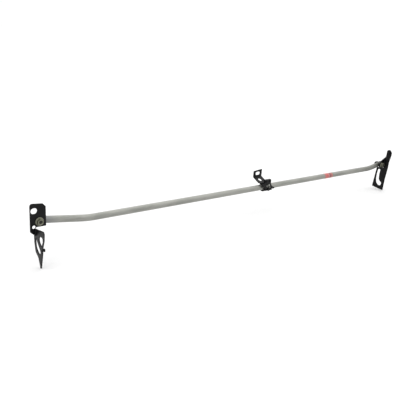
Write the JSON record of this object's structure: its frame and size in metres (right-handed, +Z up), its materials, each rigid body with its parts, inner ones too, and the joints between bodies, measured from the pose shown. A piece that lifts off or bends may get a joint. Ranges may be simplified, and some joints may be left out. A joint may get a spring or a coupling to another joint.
{
  "type": "truck bed cross bar",
  "caption": "Cranked steel tube that spans a truck bed, with a slotted plate bracket bolted to each end and a tie-down clamp that slides along it.",
  "frame": {"origin": "bearing point on the outboard face of the left bracket's wing plate, 24 mm below and 38 mm in front of the left pivot bolt", "axes": "+X along the bar towards the right bracket, +Y away from the brackets' front faces, +Z up"},
  "size_m": [1.5559, 0.0926, 0.1756],
  "materials": {
    "bar_steel": "zinc plated, satin",
    "black_steel": "black powder coat, semi-matte",
    "zinc_steel": "zinc plated",
    "black_plastic": "moulded, fine texture",
    "white_nylon": "satin",
    "black_rubber": "matte",
    "red_film": "printed film"
  },
  "bodies": {
    "bar": {"main_tube": "bar_steel", "label_band": "red_film", "left_front_saddle": "black_plastic", "left_back_saddle": "black_plastic", "left_pivot_bolt": "zinc_steel", "left_crush_sleeve": "zinc_steel", "left_nylon_washer": "white_nylon", "left_back_washer": "black_steel", "left_lock_nut": "black_steel", "left_nut_insert": "white_nylon", "left_end_plug": "black_plastic", "right_front_saddle": "black_plastic", "right_back_saddle": "black_plastic", "right_pivot_bolt": "zinc_steel", "right_crush_sleeve": "zinc_steel", "right_nylon_washer": "white_nylon", "right_back_washer": "black_steel", "right_lock_nut": "black_steel", "right_nut_insert": "white_nylon", "right_end_plug": "black_plastic"},
    "left_bracket_body": {"left_bracket": "black_steel", "left_bracket_stud": "black_steel"},
    "right_bracket_body": {"right_bracket": "black_steel", "right_bracket_stud": "black_steel"},
    "clamp_slider": {"clamp_liner": "black_rubber"},
    "clamp": {"clamp_band": "black_steel", "clamp_strap": "black_steel", "clamp_front_plate": "black_steel", "clamp_left_screw": "black_steel", "clamp_right_screw": "black_steel", "clamp_pinch_screw": "black_steel", "clamp_left_nut": "black_steel", "clamp_right_nut": "black_steel", "clamp_pinch_nut": "black_steel"}
  },
  "joints": [
    {"name": "left_bracket_pivot", "type": "hinge", "parent": "bar", "child": "left_bracket_body", "pos_m": [0.01, 0.038, 0.024], "axis": [0, 1, 0], "range_deg": [-75, 45]},
    {"name": "right_bracket_pivot", "type": "hinge", "parent": "bar", "child": "right_bracket_body", "pos_m": [1.52345, 0.038, 0.01661], "axis": [0, 1, 0], "range_deg": [-45, 75]},
    {"name": "clamp_slide", "type": "slide", "parent": "bar", "child": "clamp_slider", "axis": [1, 0, 0], "range_m": [-0.64, 0.56]},
    {"name": "clamp_turn", "type": "hinge", "parent": "clamp_slider", "child": "clamp", "pos_m": [0.84364, 0.038, 0.00476], "axis": [1, 0, 0], "continuous": true}
  ]
}
